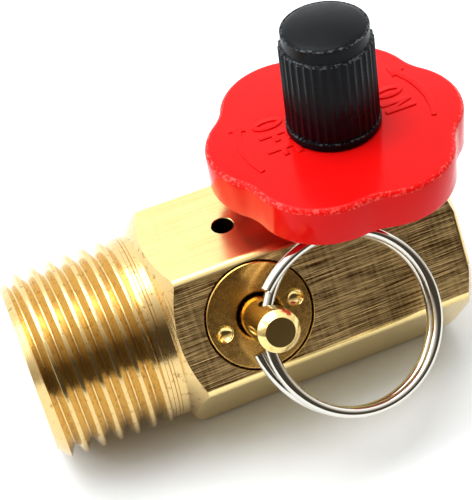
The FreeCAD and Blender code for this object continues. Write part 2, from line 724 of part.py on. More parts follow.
def make_knob():
    """The hollow six-lobed knob with its boss and inner ribs."""
    body = new_body("knob", x=knob_x, spin=number(D.knob_spin))
    sketch = new_sketch(body, "rim_outline", "XY", (0.0, 0.0, knob_low))
    lobed(sketch, D.knob_radius, D.lobe_radius, D.notch_radius)
    rim = extrude(body, "rim", sketch, D.knob_height)
    high = number(knob_top)
    low = number(knob_low)
    rounded = round_edges(body, "top_edge", rim, D.knob_edge,
                          lambda e: abs(e.BoundBox.ZMin - high) < 1e-4 and abs(e.BoundBox.ZMax - high) < 1e-4)
    body.Tip = rounded
    lower = round_edges(body, "bottom_edge", rounded, D.knob_edge * 0.4,
                        lambda e: abs(e.BoundBox.ZMin - low) < 1e-4 and abs(e.BoundBox.ZMax - low) < 1e-4)
    body.Tip = lower
    sketch = new_sketch(body, "hollow_outline", "XY", (0.0, 0.0, knob_low))
    lobed(sketch, D.knob_radius - D.knob_wall, D.lobe_radius - D.knob_wall, D.notch_radius + D.knob_wall)
    circle(sketch, D.knob_boss)
    extrude(body, "hollow", sketch, D.knob_height - D.knob_top, cuts=True, back=True)
    rib_low = knob_low + D.rib_drop
    sketch = new_sketch(body, "rib_outline", "XY", (0.0, 0.0, rib_low))
    reach = D.knob_radius - D.knob_wall / 2
    half = D.rib_width / 2
    start = D.knob_boss - 0.3
    outline(sketch, [(start, -half), (reach, -half), (reach, half), (start, half)])
    rib = extrude(body, "rib", sketch, knob_top - D.knob_top + 0.1 - rib_low)
    around(body, "ribs", rib, 6)
    sketch = new_sketch(body, "drive_hole_outline", "XY", (0.0, 0.0, knob_low))
    double_d(sketch, D.spindle_radius, D.drive_flat)
    extrude(body, "drive_hole", sketch, D.knob_height, cuts=True, back=True)
    revolve(body, "boss_recess", [
        (0.0, knob_low - 1), (D.knob_boss + 0.2, knob_low - 1), (D.knob_boss + 0.2, drive_low),
        (0.0, drive_low)], cuts=True)
    revolve(body, "flange_recess", [
        (0.0, flange_low), (D.stem_flange_radius + 0.1, flange_low),
        (D.stem_flange_radius + 0.1, knob_top + 1), (0.0, knob_top + 1)], cuts=True)
    return [body]


cone_low = stem_top - D.core_cone_depth
cone_high = cone_low + D.core_cone_length
room_low = flange_low + 0.1


def make_stem():
    """The tyre valve stem that screws into the spindle through the knob."""
    body = new_body("valve_stem", x=knob_x)
    revolve(body, "turned_stem", [
        (0.0, drive_low), (D.stem_spigot - 0.2, drive_low), (D.stem_spigot, drive_low + 0.2),
        (D.stem_spigot, flange_low), (D.stem_flange_radius, flange_low),
        (D.stem_flange_radius, knob_top - 0.12), (D.stem_flange_radius - 0.12, knob_top),
        (D.stem_thread_radius - 0.3, knob_top), (D.stem_thread_radius - 0.3, knob_top + 0.6),
        (D.stem_thread_radius, knob_top + 0.9), (D.stem_thread_radius, stem_top - D.stem_tip_chamfer),
        (D.stem_thread_radius - D.stem_tip_chamfer, stem_top), (0.0, stem_top)])
    revolve(body, "stem_bore", [
        (0.0, drive_low - 1), (D.spindle_bore, drive_low - 1), (D.spindle_bore, room_low),
        (D.core_room, room_low), (D.core_room, cone_low), (D.core_thread_radius, cone_high),
        (D.core_thread_radius, stem_top + 1), (0.0, stem_top + 1)], cuts=True)
    return [body]


def make_core():
    """The valve core: threaded barrel, collar, sprung pin with its cup and washer."""
    barrel_top = stem_top - D.core_top_gap
    thread_low = barrel_top - D.core_thread_length
    tail_low = thread_low - D.core_tail
    slope = (D.core_thread_radius - D.core_room) / D.core_cone_length
    collar_low = cone_low + 0.1
    collar_top = collar_low + D.core_collar_length
    chamber_top = barrel_top - D.core_bridge
    ledge_top = tail_low + D.core_ledge
    guide = D.pin_radius + D.pin_guide_gap
    barrel = new_body("core_barrel", x=knob_x)
    revolve(barrel, "turned_barrel", [
        (0.0, tail_low), (D.core_tail_radius - 0.25, tail_low), (D.core_tail_radius, tail_low + 0.25),
        (D.core_tail_radius, collar_low), (D.core_neck_radius, collar_low),
        (D.core_neck_radius, collar_top), (D.core_tail_radius + 0.3, collar_top),
        (D.core_tail_radius + 0.3, thread_low), (D.core_thread_radius, thread_low + 0.3),
        (D.core_thread_radius, barrel_top - 0.2), (D.core_thread_radius - 0.2, barrel_top),
        (0.0, barrel_top)])
    revolve(barrel, "barrel_bore", [
        (0.0, tail_low - 1), (D.core_ledge_hole, tail_low - 1), (D.core_ledge_hole, ledge_top),
        (D.core_chamber_radius, ledge_top), (D.core_chamber_radius, chamber_top),
        (guide, chamber_top), (guide, barrel_top + 1), (0.0, barrel_top + 1)], cuts=True)
    sketch = new_sketch(barrel, "driver_slot_outline", "XY", (0.0, 0.0, chamber_top - 0.4))
    near = D.core_slot_floor
    far = D.core_thread_radius + 1
    half = D.core_slot_width / 2
    outline(sketch, [(near, -half), (far, -half), (far, half), (near, half)])
    outline(sketch, [(-near, half), (-far, half), (-far, -half), (-near, -half)])
    extrude(barrel, "driver_slots", sketch, D.core_bridge + 1.4, cuts=True, back=True)
    collar = new_body("core_collar", x=knob_x)
    low_reach = D.core_room + (collar_low - cone_low) * slope
    high_reach = D.core_room + (D.core_collar_gap) * slope
    revolve(collar, "collar", [
        (D.core_neck_radius, collar_low), (low_reach, collar_low),
        (high_reach, cone_low + D.core_collar_gap), (high_reach, collar_top),
        (D.core_neck_radius, collar_top)])
    washer_low = tail_low - D.core_washer_thickness
    cup_low = washer_low - D.cup_floor
    collar_z = chamber_top - D.pin_collar_drop
    pin_top = stem_top - D.pin_top_gap
    pin = new_body("core_pin", x=knob_x)
    revolve(pin, "turned_pin", [
        (0.0, cup_low - D.pin_foot), (D.pin_foot_radius, cup_low - D.pin_foot),
        (D.pin_foot_radius, cup_low), (D.pin_radius, cup_low), (D.pin_radius, collar_z - D.pin_collar),
        (D.pin_collar_radius, collar_z - D.pin_collar), (D.pin_collar_radius, collar_z),
        (D.pin_radius, collar_z), (D.pin_radius, pin_top - 0.1), (D.pin_radius - 0.1, pin_top),
        (0.0, pin_top)])
    cup = new_body("core_cup", x=knob_x)
    revolve(cup, "pressed_cup", [
        (D.pin_radius, cup_low), (D.core_tail_radius - 0.2, cup_low), (D.core_tail_radius, cup_low + 0.2),
        (D.core_tail_radius, washer_low + D.cup_lip), (D.core_washer_radius, washer_low + D.cup_lip),
        (D.core_washer_radius, washer_low), (D.pin_radius, washer_low)])
    washer = new_body("core_washer", x=knob_x)
    revolve(washer, "rubber", [
        (D.pin_radius, washer_low), (D.core_washer_radius, washer_low), (D.core_washer_radius, tail_low),
        (D.pin_radius, tail_low)])
    spring = new_body("core_spring", x=knob_x)
    low = ledge_top + D.core_spring_wire / 2
    high = collar_z - D.pin_collar - D.core_spring_wire / 2
    coil(spring, "core_coil", D.core_spring_wire, D.core_spring_mean, low, D.core_spring_pitch, high - low)
    return [barrel, collar, pin, cup, washer, spring]


def make_cap():
    """The domed valve cap and the rubber disc inside its roof."""
    seal = new_body("cap_seal", x=knob_x)
    seal_top = stem_top + D.cap_seal_thickness
    inner = D.stem_thread_radius + D.cap_clearance
    revolve(seal, "seal_disc", [
        (0.0, stem_top), (D.stem_thread_radius, stem_top), (D.stem_thread_radius, seal_top), (0.0, seal_top)])
    body = new_body("valve_cap", x=knob_x)
    low = knob_top + D.cap_gap
    rim = seal_top + D.cap_top
    band_top = low + D.cap_band
    neck_low = rim - D.cap_neck
    revolve(body, "turned_cap", [
        (inner, low), (D.cap_band_radius - 0.2, low), (D.cap_band_radius, low + 0.2),
        (D.cap_band_radius, band_top), (D.cap_rib_radius, band_top + 0.1),
        (D.cap_rib_radius - D.cap_draft, neck_low - 0.1), (D.cap_neck_radius, neck_low),
        (D.cap_neck_radius, rim), (0.0, rim), (0.0, seal_top), (inner, seal_top)])
    dome(body, "domed_end", D.cap_neck_radius, rim, D.cap_dome)
    return [seal, body]


poppet_low = D.relief_floor + D.relief_rim
seal_high = poppet_low + D.seal_thickness
poppet_high = seal_high + D.poppet_web
boss_high = poppet_high + D.poppet_boss
screw_low = top - D.relief_screw_depth
cup_high = top - D.relief_web
pull_bore = D.pull_radius + D.run_clearance


def make_relief():
    """The relief valve: spanner screw, pull stem, poppet, rubber seal and spring."""
    screw = new_body("relief_screw", x=relief_x, tilt=FRONT, spin=number(D.spanner_angle))
    revolve(screw, "turned_screw", [
        (D.relief_cup_radius, screw_low), (D.relief_screw_radius - 0.3, screw_low),
        (D.relief_screw_radius, screw_low + 0.3), (D.relief_screw_radius, top - D.relief_screw_edge),
        (D.relief_screw_radius - D.relief_screw_edge, top), (pull_bore + D.stem_hole_chamfer, top),
        (pull_bore, top - D.stem_hole_chamfer), (pull_bore, cup_high), (D.relief_cup_radius, cup_high)])
    hole = revolve(screw, "spanner_hole", [
        (0.0, top + 0.2), (D.spanner_radius, top + 0.2), (D.spanner_radius, top - D.spanner_depth * 0.45),
        (0.0, top - D.spanner_depth)], shift=(D.spanner_circle, 0.0, 0.0), cuts=True)
    around(screw, "spanner_holes", hole, 2)
    stem = new_body("relief_stem", x=relief_x, tilt=FRONT, spin=number(D.cross_hole_turn))
    high = top + D.pull_length
    spigot_low = boss_high - D.spigot_length
    root = D.pull_radius - D.pull_root
    revolve(stem, "turned_stem", [
        (0.0, spigot_low), (D.spigot_radius, spigot_low), (D.spigot_radius, boss_high),
        (root, boss_high), (root, boss_high + 0.6), (D.pull_radius, boss_high + 0.6 + D.pull_root),
        (D.pull_radius, high - D.pull_edge), (D.pull_radius - D.pull_edge, high), (0.0, high)])
    sketch = new_sketch(stem, "cross_hole_outline", "XZ")
    circle(sketch, D.cross_hole_radius, 0.0, top + D.cross_hole_out)
    extrude(stem, "cross_hole", sketch, D.pull_radius * 4, cuts=True, both=True)
    poppet = new_body("relief_poppet", x=relief_x, tilt=FRONT)
    lip_low = seal_high - D.poppet_lip
    revolve(poppet, "turned_poppet", [
        (0.0, seal_high), (D.seal_radius, seal_high), (D.seal_radius, lip_low),
        (D.poppet_radius - 0.2, lip_low), (D.poppet_radius, lip_low + 0.2),
        (D.poppet_radius, poppet_high), (D.poppet_boss_radius, poppet_high),
        (D.poppet_boss_radius, boss_high), (D.spigot_radius, boss_high),
        (D.spigot_radius, spigot_low), (0.0, spigot_low)])
    seal = new_body("relief_seal", x=relief_x, tilt=FRONT)
    revolve(seal, "rubber", [
        (0.0, poppet_low), (D.seal_radius, poppet_low), (D.seal_radius, seal_high), (0.0, seal_high)])
    spring = new_body("relief_spring", x=relief_x, tilt=FRONT)
    low = poppet_high + D.relief_spring_wire / 2
    rise = cup_high - D.relief_spring_wire / 2 - low
    coil(spring, "relief_coil", D.relief_spring_wire, D.relief_spring_mean, low,
         rise / D.relief_spring_turns, rise)
    return [screw, stem, poppet, seal, spring]


def make_ring():
    """The two-turn wire pull ring. Its middle passes through the stem's cross hole
    and both ends stop short of the stem."""
    radius = number(D.ring_radius)
    wire = number(D.ring_wire)
    pitch = number(D.ring_pitch)
    gap = math.radians(number(D.ring_end_gap))
    first = math.pi + gap
    last = 5 * math.pi - gap
    count = 48
    points = []
    for i in range(count + 1):
        angle = first + (last - first) * i / count
        lift = pitch * (angle - 3 * math.pi) / (2 * math.pi)
        near = min(angle - first, last - angle)
        flare = number(D.ring_flare) * max(0.0, 1.0 - near) ** 2
        reach = radius + flare
        points.append(V(reach * math.cos(angle), reach * math.sin(angle), lift))
    path = Part.BSplineCurve()
    path.interpolate(points)
    spine = Part.Wire([path.toShape()])
    start = path.value(path.FirstParameter)
    heading = path.tangent(path.FirstParameter)[0]
    section = Part.Wire([Part.Circle(start, heading, wire / 2).toShape()])
    solid = spine.makePipeShell([section], True, True)
    ring = doc.addObject("Part::Feature", "pull_ring")
    ring.Label = "pull_ring"
    ring.Shape = solid
    along = V(1, 0, 0)
    up = V(0, 0.5, math.sqrt(0.75))
    out = V(0, -math.sqrt(0.75), 0.5)
    normal = (out + along * number(D.ring_tip_along) + up * number(D.ring_tip_up)).normalize()
    offset = along * number(D.ring_along) - up * number(D.ring_drop)
    middle = V(number(relief_x), 0, 0) + offset + out * number(top + D.ring_out)
    arm = (offset - normal * offset.dot(normal)).normalize()
    side = normal.cross(arm)
    frame = FreeCAD.Matrix(arm.x, side.x, normal.x, middle.x,
                           arm.y, side.y, normal.y, middle.y,
                           arm.z, side.z, normal.z, middle.z,
                           0, 0, 0, 1)
    ring.Placement = FreeCAD.Placement(frame)
    return [ring]


def check(pieces):
    """Every feature is sound and every piece is one closed solid."""
    for thing in doc.Objects:
        for word in ("Invalid", "Error"):
            if word in thing.State:
                raise RuntimeError("%s is %s" % (thing.Name, word))
    for piece in pieces:
        shape = piece.Shape
        if not shape.isValid() or len(shape.Solids) != 1:
            raise RuntimeError("%s is not one sound solid" % piece.Label)


def main():
    pieces = [make_body()]
    for maker in (make_bonnet, make_spindle, make_knob, make_stem, make_core, make_cap,
                  make_relief, make_ring):
        pieces.extend(maker())
    doc.recompute()
    check(pieces)
    os.makedirs("parts", exist_ok=True)
    for piece in pieces:
        piece.Shape.exportStep("parts/%s.step" % piece.Label)


main()
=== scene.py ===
"""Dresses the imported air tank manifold.

Meshes are in metres. The sizes and outlines below are in millimetres, in the part's own
frame: +X along the bar, away from the tank, and +Z up the knob's axis. An outline is a
list of (radius, height) points about a piece's own Z axis.
"""

import math

import bpy
from mathutils import Matrix, Vector


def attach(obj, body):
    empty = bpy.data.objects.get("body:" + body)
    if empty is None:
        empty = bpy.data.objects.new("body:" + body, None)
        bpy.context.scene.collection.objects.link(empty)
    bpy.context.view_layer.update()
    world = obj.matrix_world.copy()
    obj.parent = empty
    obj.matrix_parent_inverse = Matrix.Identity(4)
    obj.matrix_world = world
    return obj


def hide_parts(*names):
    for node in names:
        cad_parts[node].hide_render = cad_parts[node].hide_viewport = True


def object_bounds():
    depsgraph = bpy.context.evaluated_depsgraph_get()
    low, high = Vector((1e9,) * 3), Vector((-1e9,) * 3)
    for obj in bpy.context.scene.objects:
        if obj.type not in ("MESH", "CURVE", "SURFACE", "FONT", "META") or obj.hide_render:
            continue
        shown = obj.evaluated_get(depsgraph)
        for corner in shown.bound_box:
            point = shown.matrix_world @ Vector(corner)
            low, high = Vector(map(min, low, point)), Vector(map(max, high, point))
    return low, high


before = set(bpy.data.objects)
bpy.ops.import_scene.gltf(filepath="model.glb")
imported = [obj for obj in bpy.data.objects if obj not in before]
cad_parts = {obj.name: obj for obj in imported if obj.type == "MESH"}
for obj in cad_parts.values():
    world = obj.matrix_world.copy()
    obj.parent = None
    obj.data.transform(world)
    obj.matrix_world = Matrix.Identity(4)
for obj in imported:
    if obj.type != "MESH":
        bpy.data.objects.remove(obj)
cad_low, cad_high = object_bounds()

MM = 0.001
TURN = 2 * math.pi
MERGED = 1e-6  # points nearer than a micrometre are one

# hexagonal bar
FLATS = 22.2  # across its flats
CORNER = 1.25  # radius of its long edges
BAR_START = 6.4
BAR_END = 40.3
CONE_SLOPE = 0.82  # fall of its end cones for each millimetre of radius
NECK_RADIUS = 10.5
NECK_START = 3.3

# tank thread; its crests are as far apart as in the photograph
THREAD_START = -8.0
THREAD_RADIUS = 10.67
THREAD_TAPER_END = -0.5
THREAD_PITCH = 1.93
THREAD_DEPTH = 1.25
THREAD_PHASE = 0.175  # share of a turn that sets where its crests meet the front
TAPER = 1 / 32  # loss of radius, which is 1 in 16 over the diameter
LEAD_RADIUS = 9.45
LEAD_SLOPE = 0.82

# flat tops and roots of both threads, as shares of their pitch
CREST_FLAT = 0.22
ROOT_FLAT = 0.08

# stations along the bar, and the turn of the slanted flats about it
KNOB_X = 30.25
RELIEF_X = 16.25
VENT_Y = -0.6
FRONT_TILT = math.radians(60)

# relief screw
SPANNER_HOLE_X = 4.18
SCREW_SPIN = math.radians(7.8)

# valve cap
RIBS = 36
RIB_DEPTH = 0.15

# knob
KNOB_LOW = 14.4
KNOB_TOP = 19.0
LOBES = 6
LOBE_CENTRE = 6.2
LOBE_RADIUS = 7.75
NOTCH_RADIUS = 6.0
KNOB_WALL = 1.7
KNOB_SPIN = math.radians(-5.5)

# How often each pattern repeats in a metre, with the size of its marks in millimetres. The
# die's lines and the lathe's rings are drawn coarser than the real ones, so that they show.
DIE_LINES = 8000.0  # 0.12 apart
CROSS_MARKS = 2600.0  # 0.4 wide
CROSS_MARK_LENGTHS = 150.0  # 7 long
PITS = 2400.0  # 0.4 across
STAINS = 260.0  # 4 across
LATHE_RINGS = 3200.0  # 0.3 apart
HANDLING_SPECKS = 1500.0  # 0.7 across
MOULD_GRAIN = 1500.0  # 0.7 across
SCUFFS = 400.0  # 2.5 across
RIM_NICK_AND_HIGHLIGHT_SPECKS = 3200.0  # 0.3 across
WIRE_SPOTS = 900.0  # 1.1 across


def mm(*lengths):
    """Millimetres as a vector in metres."""
    return Vector(lengths) * MM


# places of the pieces that are modelled about their own Z axis
BAR_AXIS = Matrix.Rotation(math.pi / 2, 4, "Y")
KNOB_AXIS = Matrix.Translation(mm(KNOB_X, 0, 0))
RELIEF_AXIS = Matrix.Translation(mm(RELIEF_X, 0, 0)) @ Matrix.Rotation(FRONT_TILT, 4, "X")
VENT_AXIS = Matrix.Translation(mm(RELIEF_X, VENT_Y, 0))
GAUGE_AXIS = Matrix.Translation(mm(RELIEF_X, 0, 0)) @ Matrix.Rotation(-FRONT_TILT, 4, "X")


# modelling
def pick(obj):
    """Makes obj the only selected and active object."""
    bpy.ops.object.select_all(action="DESELECT")
    obj.select_set(True)
    bpy.context.view_layer.objects.active = obj
    return obj


def edit(obj):
    """Enters edit mode on obj with all of it selected."""
    pick(obj)
    bpy.ops.object.mode_set(mode="EDIT")
    bpy.ops.mesh.select_all(action="SELECT")


def leave():
    """Leaves edit mode."""
    bpy.ops.object.mode_set(mode="OBJECT")


def new_object(name, data):
    """An object of that data, in the scene."""
    obj = bpy.data.objects.new(name, data)
    bpy.context.collection.objects.link(obj)
    return obj


def meshed(name, curve):
    """A curve turned into a mesh object."""
    obj = pick(new_object(name, curve))
    bpy.ops.object.convert(target="MESH")
    return obj


def apply_modifier(obj, kind, **settings):
    """Adds a modifier with its settings and applies it."""
    pick(obj)
    made = obj.modifiers.new(kind.lower(), kind)
    for name, value in settings.items():
        setattr(made, name, value)
    bpy.ops.object.modifier_apply(modifier=made.name)


def close_up(obj):
    """Merges doubles, drops edges that carry no face and turns the faces outwards."""
    edit(obj)
    bpy.ops.mesh.remove_doubles(threshold=MERGED)
    bpy.ops.mesh.delete_loose()
    bpy.ops.mesh.select_all(action="SELECT")
    bpy.ops.mesh.normals_make_consistent(inside=False)
    leave()


def smooth(obj, degrees=32):
    """Shades obj smooth over edges flatter than that angle."""
    pick(obj)
    bpy.ops.object.shade_smooth_by_angle(angle=math.radians(degrees))
    return obj


def outline_object(name, points, closed=True):
    """An outline in the XZ plane, as edges."""
    mesh = bpy.data.meshes.new(name)
    count = len(points)
    edges = [(i, (i + 1) % count) for i in range(count if closed else count - 1)]
    mesh.from_pydata([mm(r, 0, z) for r, z in points], edges, [])
    return new_object(name, mesh)


def rounded(points, radius, steps=4, closed=True):
    """The outline with its corners cut by arcs of that radius, or as large as fits. Points
    on the axis and the slightest corners stay."""
    slightest_turn = 0.2
    most_of_a_side = 0.4
    result = []
    count = len(points)
    for i, (x, y) in enumerate(points):
        if not closed and i in (0, count - 1):
            result.append((x, y))
            continue
        here = Vector((x, y))
        before = Vector(points[i - 1]) - here
        after = Vector(points[(i + 1) % count]) - here
        turn = math.pi - before.angle(after, 0.0) if before.length and after.length else 0.0
        if x < 1e-6 or turn < slightest_turn:
            result.append((x, y))
            continue
        back = min(radius * math.tan(turn / 2), before.length * most_of_a_side,
                   after.length * most_of_a_side)
        start = here + before.normalized() * back
        end = here + after.normalized() * back
        for k in range(steps + 1):
            t = k / steps
            spot = start * (1 - t) ** 2 + here * 2 * t * (1 - t) + end * t ** 2
            result.append((spot.x, spot.y))
    return result


def turned(name, points, steps=128, place=Matrix(), edge=0.0):
    """A turned piece: the outline, its corners eased by edge, spun about Z."""
    obj = outline_object(name, rounded(points, edge) if edge else points)
    edit(obj)
    bpy.ops.mesh.spin(steps=steps, angle=TURN, center=(0, 0, 0), axis=(0, 0, 1))
    leave()
    close_up(obj)
    obj.data.transform(place)
    return smooth(obj)


def helix_rod(name, crest, pitch, depth, envelope, steps, phase=0.0, taper_end=None):
    """A rod with a real helical thread about Z, cut to an envelope, which is the outline of
    its ends, lead and run-out. Below taper_end it narrows."""
    low = min(z for r, z in envelope)
    high = max(z for r, z in envelope)
    past = 0.3
    spare_turns = 4
    easing = depth * 0.12
    root = crest - depth
    crest_half = CREST_FLAT * pitch / 2
    root_half = ROOT_FLAT * pitch / 2
    groove = [(root, 0.0), (root, root_half), (crest, pitch / 2 - crest_half),
              (crest, pitch / 2 + crest_half), (root, pitch - root_half), (root, pitch)]
    obj = outline_object(name, rounded(groove, easing, 2, closed=False), closed=False)
    turns = int(math.ceil((high - low) / pitch)) + spare_turns
    apply_modifier(obj, "SCREW", axis="Z", screw_offset=pitch * MM, iterations=turns,
                   steps=steps, render_steps=steps, use_merge_vertices=True,
                   merge_threshold=MERGED)
    close_up(obj)
    obj.data.transform(Matrix.Translation(mm(0, 0, low - (spare_turns / 2 - phase) * pitch)))
    for height, top in ((low - past, False), (high + past, True)):
        edit(obj)
        bpy.ops.mesh.bisect(plane_co=(0, 0, height * MM), plane_no=(0, 0, 1), use_fill=True,
                            clear_inner=not top, clear_outer=top, threshold=MERGED / 10)
        leave()
    if taper_end is not None:
        for vertex in obj.data.vertices:
            drop = max(0.0, taper_end * MM - vertex.co.z) * TAPER
            shrink = 1 - drop / math.hypot(vertex.co.x, vertex.co.y)
            vertex.co.x *= shrink
            vertex.co.y *= shrink
    close_up(obj)
    limit = turned(name + "_envelope", envelope, steps=steps * 2)
    return boolean(obj, limit, "INTERSECT")


def boolean(obj, tool, operation="DIFFERENCE"):
    """Cuts obj with tool, joins it to tool or keeps what they share."""
    apply_modifier(obj, "BOOLEAN", operation=operation, object=tool, solver="EXACT")
    bpy.data.objects.remove(tool)
    close_up(obj)
    return obj


def ease_edges(obj, chosen, width, segments):
    """Rounds the edges of obj whose two ends pass a test."""
    edit(obj)
    bpy.ops.mesh.select_all(action="DESELECT")
    leave()
    vertices = obj.data.vertices
    for edge in obj.data.edges:
        start, end = edge.vertices
        edge.select = chosen(vertices[start].co, vertices[end].co)
    pick(obj)
    bpy.ops.object.mode_set(mode="EDIT")
    bpy.ops.mesh.select_mode(type="EDGE")
    bpy.ops.mesh.bevel(offset=width * MM, offset_type="OFFSET", segments=segments, profile=0.5)
    leave()


def finished(obj, material, body, *nodes, slot=None):
    """Gives a piece its material and its body, and hides the CAD nodes that it stands for."""
    obj.data.materials.clear()
    obj.data.materials.append(material)
    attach(obj, body)
    if nodes:
        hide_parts(*nodes)


# materials
def linear(hex_colour):
    """An sRGB hex colour as linear red, green, blue, alpha."""
    parts = [int(hex_colour[i:i + 2], 16) / 255 for i in (1, 3, 5)]
    return [c / 12.92 if c <= 0.04045 else ((c + 0.055) / 1.055) ** 2.4 for c in parts] + [1.0]


def add(tree, kind, inputs=None, **settings):
    """Adds a node, with its settings and with its inputs set or linked. A node that mixes
    colours takes its factor on input 0 and the two colours on 6 and 7."""
    made = tree.nodes.new(kind)
    for name, value in settings.items():
        setattr(made, name, value)
    for name, value in (inputs or {}).items():
        if isinstance(value, bpy.types.NodeSocket):
            tree.links.new(value, made.inputs[name])
        else:
            made.inputs[name].default_value = value
    return made


def material(name, colour, metallic, roughness, **sockets):
    """A material with its shader, ready for the nodes that vary it."""
    made = bpy.data.materials.new(name)
    made.use_nodes = True
    shader = made.node_tree.nodes["Principled BSDF"]
    shader.inputs["Base Color"].default_value = linear(colour)
    shader.inputs["Metallic"].default_value = metallic
    shader.inputs["Roughness"].default_value = roughness
    for socket, value in sockets.items():
        shader.inputs[socket.replace("_", " ")].default_value = value
    return made, made.node_tree, shader


def drawn_brass(name, relief, dark, bright, roughness, line_length, spread=0.5):
    """Brass bar left as it came from the die: straight lines along the flats, fainter marks
    across them, small dark pits, and stains that are browner than the metal. A small spread
    makes the dark lines stand out hard."""
    mark_share = 0.25
    pit_share = 0.2
    stain_share = 0.15
    half_way = 0.7
    made, tree, shader = material(name, bright, 1.0, roughness)
    place = add(tree, "ShaderNodeTexCoord").outputs["Object"]
    along = add(tree, "ShaderNodeMapping", {
        "Vector": place, "Scale": (1 / (line_length * MM), DIE_LINES, DIE_LINES)}).outputs[0]
    lines = add(tree, "ShaderNodeTexNoise", {
        "Vector": along, "Scale": 1.0, "Detail": 2.0}).outputs[0]
    across = add(tree, "ShaderNodeMapping", {
        "Vector": place, "Scale": (CROSS_MARKS, CROSS_MARK_LENGTHS, CROSS_MARK_LENGTHS)}).outputs[0]
    marks = add(tree, "ShaderNodeTexNoise", {
        "Vector": across, "Scale": 1.0, "Detail": 3.0}).outputs[0]
    pits = add(tree, "ShaderNodeTexNoise", {
        "Vector": place, "Scale": PITS, "Detail": 2.0}).outputs[0]
    stain = add(tree, "ShaderNodeTexNoise", {
        "Vector": place, "Scale": STAINS, "Detail": 4.0}).outputs[0]
    cut = add(tree, "ShaderNodeMath", {
        0: marks, 1: mark_share, 2: lines}, operation="MULTIPLY_ADD").outputs[0]
    height = add(tree, "ShaderNodeMath", {
        0: pits, 1: pit_share, 2: cut}, operation="MULTIPLY_ADD").outputs[0]
    wear = add(tree, "ShaderNodeMath", {
        0: stain, 1: stain_share, 2: cut}, operation="MULTIPLY_ADD").outputs[0]
    clean = add(tree, "ShaderNodeMapRange", {
        "Value": wear, "From Min": half_way - spread / 2,
        "From Max": half_way + spread / 2}).outputs[0]
    pitted = add(tree, "ShaderNodeMapRange", {
        "Value": pits, "From Min": 0.22, "From Max": 0.29}).outputs[0]
    sound = add(tree, "ShaderNodeMath", {0: clean, 1: pitted}, operation="MULTIPLY").outputs[0]
    colour = add(tree, "ShaderNodeMix", {
        0: sound, 6: linear(dark), 7: linear(bright)}, data_type="RGBA").outputs[2]
    tree.links.new(colour, shader.inputs["Base Color"])
    bump = add(tree, "ShaderNodeBump", {
        "Height": height, "Strength": relief, "Distance": 0.05 * MM}).outputs[0]
    tree.links.new(bump, shader.inputs["Normal"])
    return made


def turned_brass(name, axis, dark="#D9B25F", bright="#F0D28A", roughness=0.17, relief=0.25):
    """Brass turned in a lathe: fine rings about the axis, which break the light into bands,
    with dark specks and small bright nicks left by handling."""
    speck_share = 0.4
    made, tree, shader = material(name, bright, 1.0, roughness)
    place = add(tree, "ShaderNodeTexCoord").outputs["Object"]
    inverse = axis.inverted()
    local = add(tree, "ShaderNodeMapping", {
        "Vector": place, "Rotation": inverse.to_euler(),
        "Location": inverse.to_translation()}).outputs[0]
    parts = add(tree, "ShaderNodeSeparateXYZ", {"Vector": local}).outputs
    flat = add(tree, "ShaderNodeCombineXYZ", {"X": parts[0], "Y": parts[1]}).outputs[0]
    reach = add(tree, "ShaderNodeVectorMath", {0: flat}, operation="LENGTH").outputs["Value"]
    ring = add(tree, "ShaderNodeCombineXYZ", {"X": reach, "Y": parts[2]}).outputs[0]
    grooves = add(tree, "ShaderNodeTexNoise", {
        "Vector": ring, "Scale": LATHE_RINGS, "Detail": 3.0}).outputs[0]
    wear = add(tree, "ShaderNodeTexNoise", {
        "Vector": place, "Scale": HANDLING_SPECKS, "Detail": 5.0, "Roughness": 0.6}).outputs[0]
    specks = add(tree, "ShaderNodeMapRange", {
        "Value": wear, "From Min": 0.3, "From Max": 0.42}).outputs[0]
    colour = add(tree, "ShaderNodeMix", {
        0: specks, 6: linear(dark), 7: linear(bright)}, data_type="RGBA").outputs[2]
    tree.links.new(colour, shader.inputs["Base Color"])
    rough = add(tree, "ShaderNodeMapRange", {
        "Value": wear, "From Min": 0.3, "From Max": 0.7,
        "To Min": roughness * 1.3, "To Max": roughness * 0.8}).outputs[0]
    tree.links.new(rough, shader.inputs["Roughness"])
    height = add(tree, "ShaderNodeMath", {
        0: wear, 1: speck_share, 2: grooves}, operation="MULTIPLY_ADD").outputs[0]
    bump = add(tree, "ShaderNodeBump", {
        "Height": height, "Strength": relief, "Distance": 0.03 * MM}).outputs[0]
    tree.links.new(bump, shader.inputs["Normal"])
    return made


